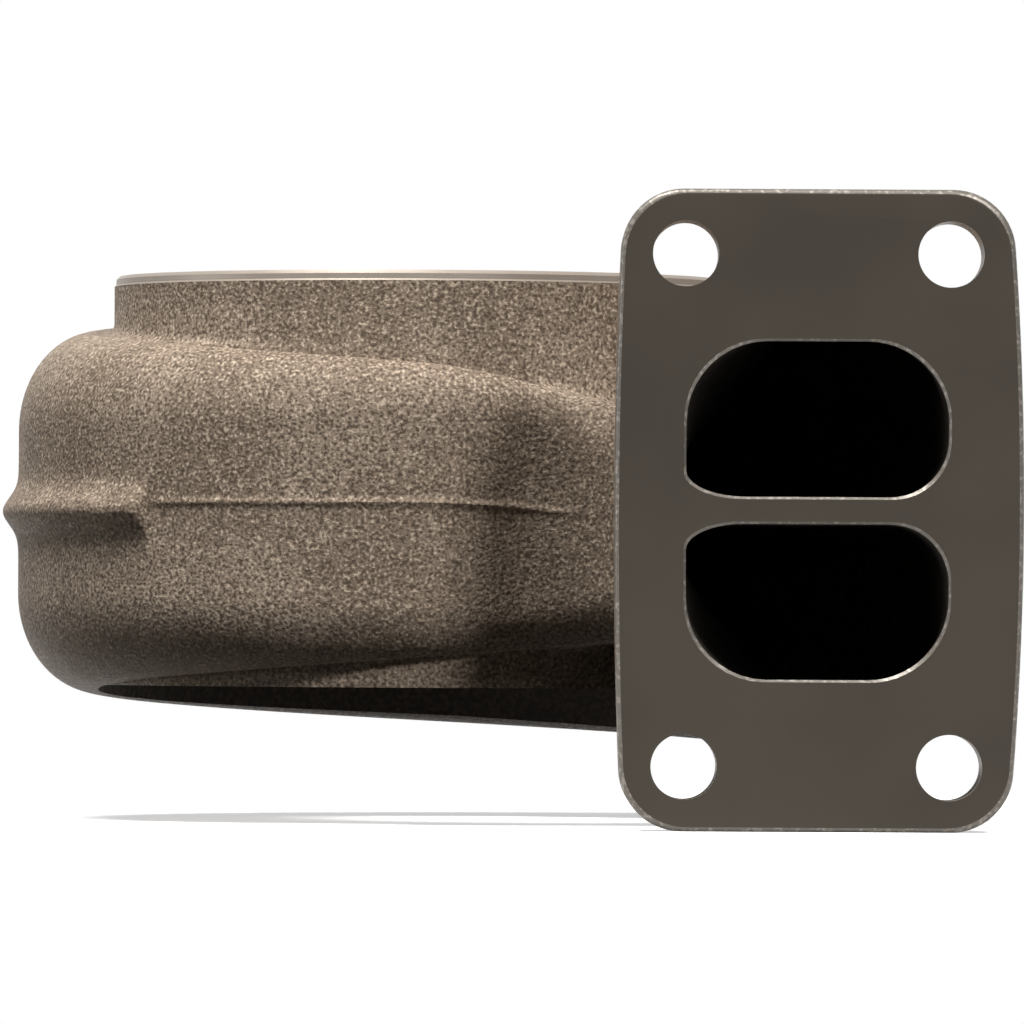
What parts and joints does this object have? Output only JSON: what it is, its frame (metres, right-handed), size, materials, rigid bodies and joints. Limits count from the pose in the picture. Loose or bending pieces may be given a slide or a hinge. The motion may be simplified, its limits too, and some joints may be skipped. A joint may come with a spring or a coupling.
{
  "type": "turbocharger turbine housing",
  "caption": "Cast iron turbine housing: a divided rectangular inlet flange, a tangential neck and a divided volute round a short bore, with machined outlet and bearing-side rings.",
  "frame": {"origin": "middle of the inlet flange's machined face, on the bar between the two ports", "axes": "-Y is the flange face's outward normal; +Z runs along the turbine axis towards the outlet ring; +X is the right-hand side of a viewer who looks at the flange face"},
  "size_m": [0.1744, 0.1832, 0.1068],
  "materials": {
    "cast_iron": "sand cast and shot blasted, brown grey with a fine sparkle; flange face, ring faces and bores machined"
  },
  "bodies": {
    "root": {"turbine_housing": "cast_iron"}
  },
  "joints": []
}
